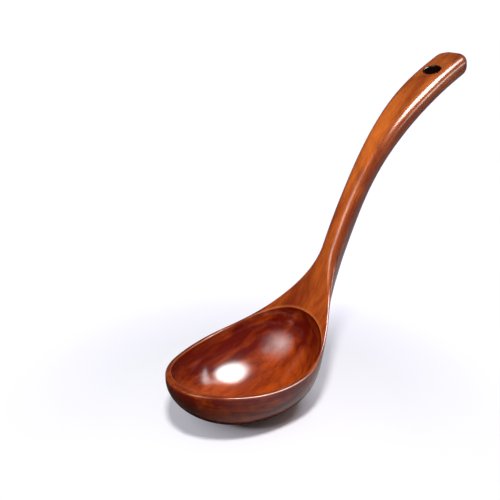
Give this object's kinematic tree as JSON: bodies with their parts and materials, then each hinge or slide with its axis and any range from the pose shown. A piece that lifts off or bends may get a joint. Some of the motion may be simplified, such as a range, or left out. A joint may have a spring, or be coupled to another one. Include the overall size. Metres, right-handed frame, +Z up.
{
  "type": "ladle",
  "caption": "Carved wooden ladle: an egg-shaped bowl with a flat under it, and a bent, flattened handle glued on at the neck, with a drilled hole at its end.",
  "frame": {"origin": "middle of the flat under the bowl, on the surface that the ladle is pictured standing on", "axes": "+X along the ladle from the tip of the bowl towards the handle, +Y across it, +Z up"},
  "size_m": [0.2472, 0.072, 0.1739],
  "materials": {
    "bowl_wood": "glossy reddish-brown lacquer",
    "glue": "glossy dark line under the lacquer",
    "handle_wood": "glossy orange-brown lacquer"
  },
  "bodies": {
    "root": {"bowl": "bowl_wood", "glue_line": "glue", "handle": "handle_wood"}
  },
  "joints": []
}
